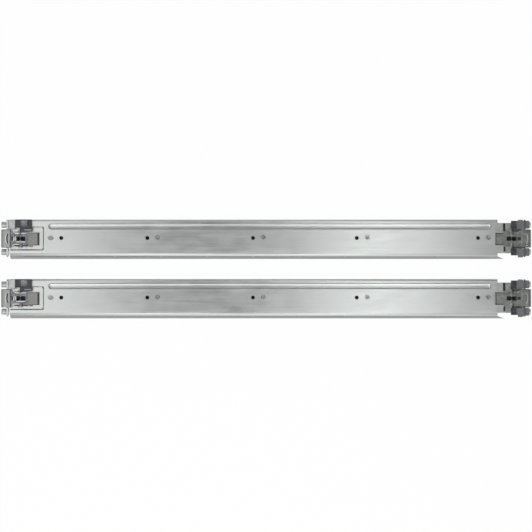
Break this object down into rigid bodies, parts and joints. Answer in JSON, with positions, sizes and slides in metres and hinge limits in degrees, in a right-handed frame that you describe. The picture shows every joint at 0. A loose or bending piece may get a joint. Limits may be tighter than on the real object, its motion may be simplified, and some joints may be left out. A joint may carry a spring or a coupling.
{
  "type": "sliding server rail pair",
  "caption": "Pair of ball-bearing sliding rails for a server rack, with hooked pin brackets and a depth arm at the rear, lying side by side.",
  "frame": {"origin": "centre of the overall box, on the surface that both rails lie on", "axes": "+X along the rails towards the rear of the rack, +Z from the server side towards the outer web, +Y from the lower to the upper rail"},
  "size_m": [0.6164, 0.1152, 0.0222],
  "materials": {
    "galvanised_sheet": "galvanised, soft satin",
    "slide_steel": "zinc plated, satin",
    "zinc_plate": "zinc plated, satin",
    "cast_zinc": "die cast, bead blasted",
    "dark_cast": "dark die cast, satin",
    "black_plastic": "moulded, fine grain",
    "pin_steel": "turned, zinc plated",
    "spring_steel": "drawn wire",
    "ball_steel": "polished"
  },
  "bodies": {
    "root": {"upper_outer_rail": "galvanised_sheet", "upper_slide_outer": "slide_steel", "upper_slide_stop": "black_plastic", "upper_front_bracket": "zinc_plate", "upper_front_pin_block": "cast_zinc", "upper_front_pins": "pin_steel", "upper_front_guard": "black_plastic", "upper_front_axle": "pin_steel", "upper_front_spring": "spring_steel", "lower_outer_rail": "galvanised_sheet", "lower_slide_outer": "slide_steel", "lower_slide_stop": "black_plastic", "lower_front_bracket": "zinc_plate", "lower_front_pin_block": "cast_zinc", "lower_front_pins": "pin_steel", "lower_front_guard": "black_plastic", "lower_front_axle": "pin_steel", "lower_front_spring": "spring_steel", "rail_rivets": "pin_steel"},
    "upper_front_hook": {"upper_front_hook": "cast_zinc"},
    "upper_arm": {"upper_depth_arm": "galvanised_sheet", "upper_rear_bracket": "zinc_plate", "upper_rear_pin_blocks": "dark_cast", "upper_rear_pins": "pin_steel", "upper_rear_collars": "dark_cast", "upper_rear_axle": "pin_steel", "upper_rear_spring": "spring_steel", "upper_rear_rivets": "pin_steel"},
    "upper_rear_hook": {"upper_rear_hook": "dark_cast"},
    "upper_middle": {"upper_slide_middle": "slide_steel"},
    "upper_inner": {"upper_slide_inner": "slide_steel", "upper_lever_rivet": "pin_steel"},
    "upper_lever": {"upper_release_lever": "zinc_plate"},
    "upper_outer_cage": {"upper_outer_cage": "slide_steel", "upper_outer_balls": "ball_steel"},
    "upper_inner_cage": {"upper_inner_cage": "slide_steel", "upper_inner_balls": "ball_steel"},
    "lower_front_hook": {"lower_front_hook": "cast_zinc"},
    "lower_arm": {"lower_depth_arm": "galvanised_sheet", "lower_rear_bracket": "zinc_plate", "lower_rear_pin_blocks": "dark_cast", "lower_rear_pins": "pin_steel", "lower_rear_collars": "dark_cast", "lower_rear_axle": "pin_steel", "lower_rear_spring": "spring_steel", "lower_rear_rivets": "pin_steel"},
    "lower_rear_hook": {"lower_rear_hook": "dark_cast"},
    "lower_middle": {"lower_slide_middle": "slide_steel"},
    "lower_inner": {"lower_slide_inner": "slide_steel", "lower_lever_rivet": "pin_steel"},
    "lower_lever": {"lower_release_lever": "zinc_plate"},
    "lower_outer_cage": {"lower_outer_cage": "slide_steel", "lower_outer_balls": "ball_steel"},
    "lower_inner_cage": {"lower_inner_cage": "slide_steel", "lower_inner_balls": "ball_steel"}
  },
  "joints": [
    {"name": "upper_front_hook_pivot", "type": "hinge", "parent": "root", "child": "upper_front_hook", "pos_m": [-0.2855, 0.0356, 0.01594], "axis": [0, 1, 0], "range_deg": [0, 14], "stiffness_Nm_per_rad": 0.1, "springref_deg": -17.19},
    {"name": "upper_depth_slide", "type": "slide", "parent": "root", "child": "upper_arm", "axis": [1, 0, 0], "range_m": [0, 0.27]},
    {"name": "upper_rear_hook_pivot", "type": "hinge", "parent": "upper_arm", "child": "upper_rear_hook", "pos_m": [0.2855, 0.0356, 0.01594], "axis": [0, -1, 0], "range_deg": [0, 14], "stiffness_Nm_per_rad": 0.1, "springref_deg": -17.19},
    {"name": "upper_middle_slide", "type": "slide", "parent": "root", "child": "upper_middle", "axis": [-1, 0, 0], "range_m": [0, 0.265]},
    {"name": "upper_inner_slide", "type": "slide", "parent": "upper_middle", "child": "upper_inner", "axis": [-1, 0, 0], "range_m": [0, 0.265]},
    {"name": "upper_release_lever_pivot", "type": "hinge", "parent": "upper_inner", "child": "upper_lever", "pos_m": [-0.03, 0.0356, 0.0024], "axis": [0, 0, 1], "range_deg": [0, 7], "stiffness_Nm_per_rad": 0.05, "springref_deg": -5.73},
    {"name": "upper_outer_cage_roll", "type": "slide", "parent": "root", "child": "upper_outer_cage", "axis": [-1, 0, 0], "range_m": [0, 0.1325]},
    {"name": "upper_inner_cage_roll", "type": "slide", "parent": "upper_middle", "child": "upper_inner_cage", "axis": [-1, 0, 0], "range_m": [0, 0.1325]},
    {"name": "lower_front_hook_pivot", "type": "hinge", "parent": "root", "child": "lower_front_hook", "pos_m": [-0.2855, -0.0337, 0.01594], "axis": [0, 1, 0], "range_deg": [0, 14], "stiffness_Nm_per_rad": 0.1, "springref_deg": -17.19},
    {"name": "lower_depth_slide", "type": "slide", "parent": "root", "child": "lower_arm", "axis": [1, 0, 0], "range_m": [0, 0.27]},
    {"name": "lower_rear_hook_pivot", "type": "hinge", "parent": "lower_arm", "child": "lower_rear_hook", "pos_m": [0.2855, -0.0337, 0.01594], "axis": [0, -1, 0], "range_deg": [0, 14], "stiffness_Nm_per_rad": 0.1, "springref_deg": -17.19},
    {"name": "lower_middle_slide", "type": "slide", "parent": "root", "child": "lower_middle", "axis": [-1, 0, 0], "range_m": [0, 0.265]},
    {"name": "lower_inner_slide", "type": "slide", "parent": "lower_middle", "child": "lower_inner", "axis": [-1, 0, 0], "range_m": [0, 0.265]},
    {"name": "lower_release_lever_pivot", "type": "hinge", "parent": "lower_inner", "child": "lower_lever", "pos_m": [-0.03, -0.0337, 0.0024], "axis": [0, 0, 1], "range_deg": [0, 7], "stiffness_Nm_per_rad": 0.05, "springref_deg": -5.73},
    {"name": "lower_outer_cage_roll", "type": "slide", "parent": "root", "child": "lower_outer_cage", "axis": [-1, 0, 0], "range_m": [0, 0.1325]},
    {"name": "lower_inner_cage_roll", "type": "slide", "parent": "lower_middle", "child": "lower_inner_cage", "axis": [-1, 0, 0], "range_m": [0, 0.1325]}
  ],
  "couplings": [
    {"joint": "upper_outer_cage_roll", "follows": "upper_middle_slide", "ratio": 0.5},
    {"joint": "upper_inner_cage_roll", "follows": "upper_inner_slide", "ratio": 0.5},
    {"joint": "lower_outer_cage_roll", "follows": "lower_middle_slide", "ratio": 0.5},
    {"joint": "lower_inner_cage_roll", "follows": "lower_inner_slide", "ratio": 0.5}
  ]
}
